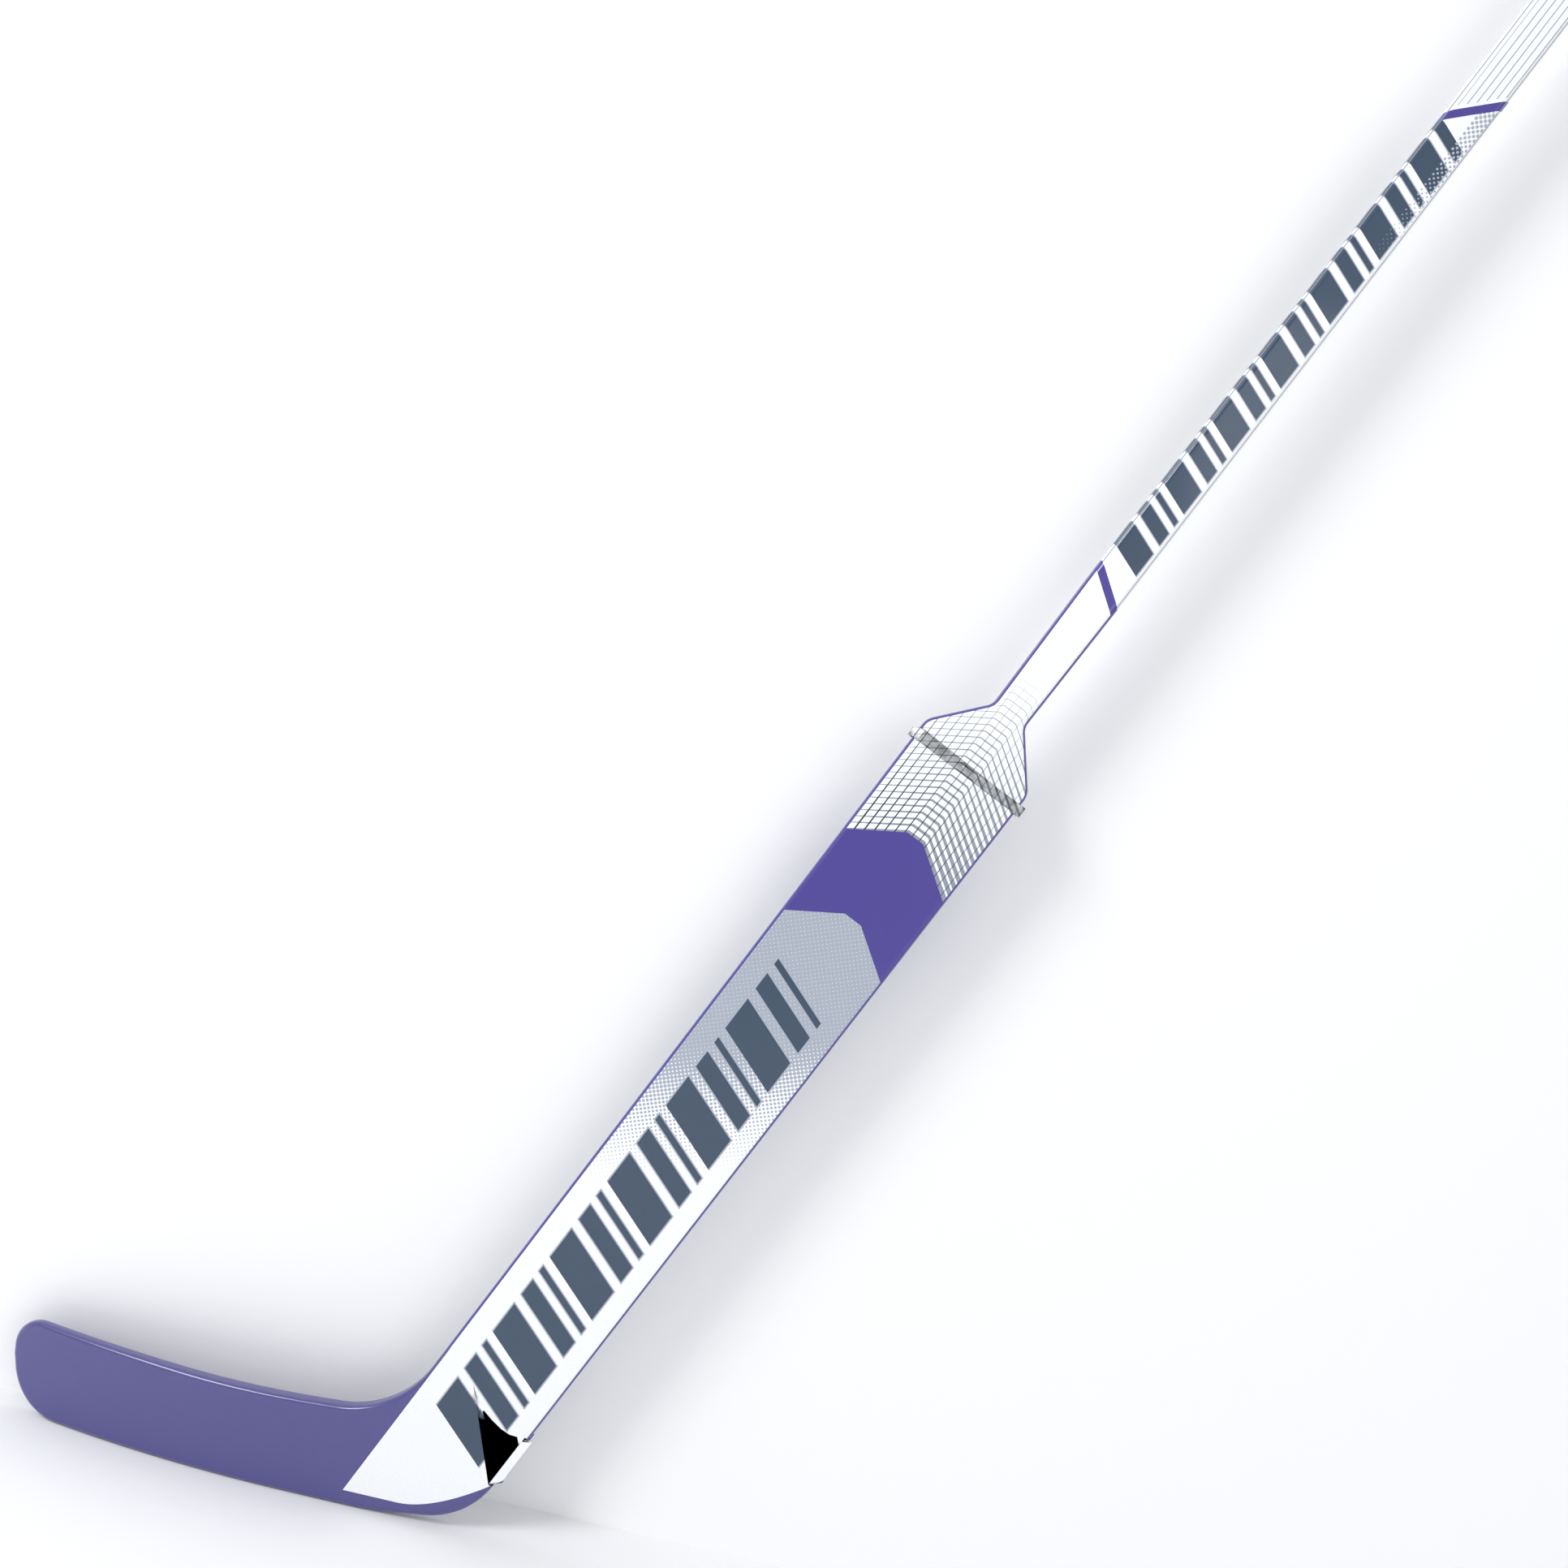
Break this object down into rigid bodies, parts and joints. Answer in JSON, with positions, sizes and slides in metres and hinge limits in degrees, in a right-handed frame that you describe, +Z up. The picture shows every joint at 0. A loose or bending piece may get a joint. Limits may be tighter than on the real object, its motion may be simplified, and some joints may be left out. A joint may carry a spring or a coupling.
{
  "type": "ice hockey goaltender stick",
  "caption": "Goaltender's hockey stick: wide flat paddle on a narrow rounded shaft, with a curved blade at a steep lie, in white with purple edges and printed panels.",
  "frame": {"origin": "on the flat sole, at mid-thickness, where the line of the paddle's inner edge meets the ice", "axes": "+Z up from the ice, +X from the blade's toe towards the heel and the way the shaft leans, +Y from the front face through the thickness, the way the toe curves"},
  "size_m": [0.997, 0.0406, 1.4382],
  "materials": {
    "carbon_laminate": "white painted carbon laminate under clear coat",
    "end_plug": "matt black moulded rubber",
    "resin_block": "purple painted resin under clear coat",
    "hardwood": "sanded birch",
    "foam_core": "rigid closed cell foam, sanded",
    "face_laminate": "white painted laminate under clear coat",
    "edge_rail": "purple painted composite rail under clear coat",
    "blade_laminate": "purple painted laminate under clear coat",
    "sole_rail": "purple painted wear strip under clear coat",
    "printed_film": "printed film, white ground with purple, navy and silver, under clear coat"
  },
  "bodies": {
    "root": {"shaft_tube": "carbon_laminate", "butt_plug": "end_plug", "shoulder_block": "resin_block", "paddle_stem": "hardwood", "paddle_core_left": "foam_core", "paddle_core_right": "foam_core", "paddle_front_skin": "face_laminate", "paddle_back_skin": "face_laminate", "paddle_rail_left": "edge_rail", "paddle_rail_right": "edge_rail", "heel_block": "resin_block", "blade_core_lower": "foam_core", "blade_core_upper": "foam_core", "blade_rib": "hardwood", "blade_front_skin": "blade_laminate", "blade_back_skin": "blade_laminate", "blade_top_rail": "edge_rail", "blade_sole_rail": "sole_rail", "toe_cap": "resin_block", "paddle_print_front": "printed_film", "paddle_print_back": "printed_film", "shaft_print": "printed_film"}
  },
  "joints": []
}
